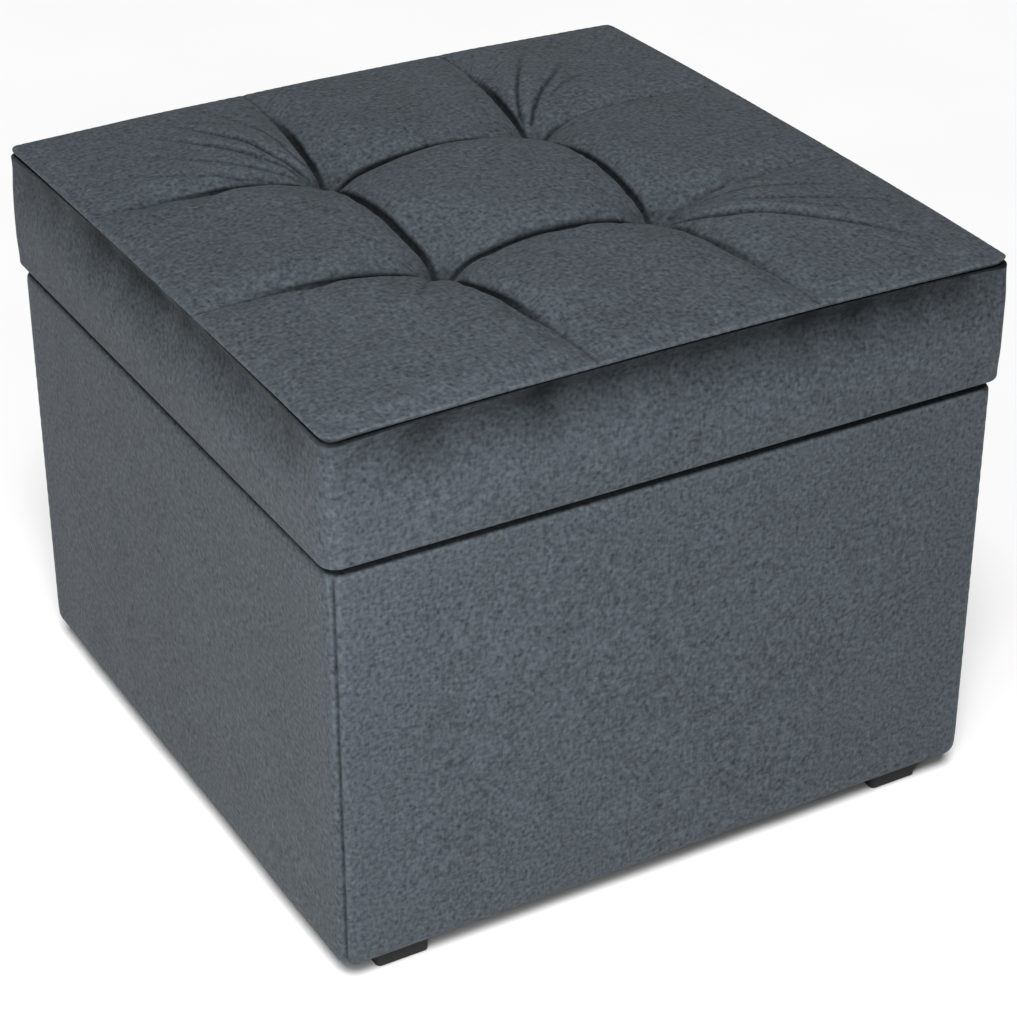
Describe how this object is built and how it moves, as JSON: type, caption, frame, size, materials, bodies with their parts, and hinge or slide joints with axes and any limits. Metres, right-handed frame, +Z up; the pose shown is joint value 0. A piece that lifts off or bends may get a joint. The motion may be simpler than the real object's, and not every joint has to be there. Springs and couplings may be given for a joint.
{
  "type": "storage ottoman",
  "caption": "Square padded storage ottoman with a hinged, button-free tufted lid, cloth-covered box, block feet and a folding lid stay.",
  "frame": {"origin": "on the floor, under the centre of the square box", "axes": "+Z up, -Y towards the front, +X towards the right side; the hinges run along X at the back"},
  "size_m": [0.508, 0.5118, 0.427],
  "materials": {
    "grey_cloth": "soft charcoal-grey upholstery cloth with a fine mottled grain",
    "black_lining": "thin black non-woven lining",
    "foam": "open-cell upholstery foam",
    "wadding": "white polyester wadding",
    "twine": "waxed tufting twine",
    "board": "bare pressed wood board",
    "softwood": "bare sawn pine",
    "hinge_steel": "pressed zinc-plated steel",
    "zinc_steel": "bright zinc-plated steel",
    "black_plastic": "matt black moulded plastic",
    "black_rubber": "soft black rubber"
  },
  "bodies": {
    "base": {"frame_front": "board", "frame_right": "board", "frame_back": "board", "frame_left": "board", "frame_floor": "board", "corner_block_front_right": "softwood", "corner_block_back_right": "softwood", "corner_block_back_left": "softwood", "corner_block_front_left": "softwood", "frame_screws": "zinc_steel", "floor_screws": "zinc_steel", "padding_front": "foam", "padding_right": "foam", "padding_back": "foam", "padding_left": "foam", "cover_front": "grey_cloth", "cover_right": "grey_cloth", "cover_back": "grey_cloth", "cover_left": "grey_cloth", "lining_walls": "black_lining", "lining_floor": "black_lining", "dust_cover": "black_lining", "dust_cover_staples": "zinc_steel", "foot_front_right": "black_plastic", "foot_back_right": "black_plastic", "foot_back_left": "black_plastic", "foot_front_left": "black_plastic", "foot_screws": "zinc_steel", "rim_bumpers": "black_rubber", "hinge_left_base_leaf": "hinge_steel", "hinge_left_pin": "hinge_steel", "hinge_right_base_leaf": "hinge_steel", "hinge_right_pin": "hinge_steel", "hinge_base_screws": "zinc_steel", "stay_base_bracket": "hinge_steel", "stay_base_rivet": "zinc_steel", "stay_base_screws": "zinc_steel"},
    "lid": {"lid_board": "board", "lid_foam": "foam", "lid_wadding": "wadding", "lid_top_panel": "grey_cloth", "lid_boxing_front": "grey_cloth", "lid_boxing_right": "grey_cloth", "lid_boxing_back": "grey_cloth", "lid_boxing_left": "grey_cloth", "tuft_twines": "twine", "tuft_anchors": "black_plastic", "lid_lining": "black_lining", "lid_staples": "zinc_steel", "hinge_left_lid_leaf": "hinge_steel", "hinge_right_lid_leaf": "hinge_steel", "hinge_lid_screws": "zinc_steel", "stay_lid_bracket": "hinge_steel", "stay_lid_stud": "zinc_steel", "stay_lid_screws": "zinc_steel"},
    "stay_lower": {"stay_lower_arm": "hinge_steel", "stay_elbow_rivet": "zinc_steel"},
    "stay_upper": {"stay_upper_arm": "hinge_steel"}
  },
  "joints": [
    {"name": "lid_hinge", "type": "hinge", "parent": "base", "child": "lid", "pos_m": [0, 0.255, 0.3195], "axis": [-1, 0, 0], "range_deg": [0, 95]},
    {"name": "stay_base_pivot", "type": "hinge", "parent": "base", "child": "stay_lower", "pos_m": [0.22065, 0.189, 0.1635], "axis": [-1, 0, 0], "range_deg": [0, 95]},
    {"name": "stay_elbow", "type": "hinge", "parent": "stay_lower", "child": "stay_upper", "pos_m": [0.21785, 0.094, 0.1495], "axis": [-1, 0, 0], "range_deg": [-95, 0]}
  ],
  "couplings": [
    {"joint": "stay_base_pivot", "follows": "lid_hinge", "ratio": 1},
    {"joint": "stay_elbow", "follows": "lid_hinge", "ratio": -1}
  ]
}
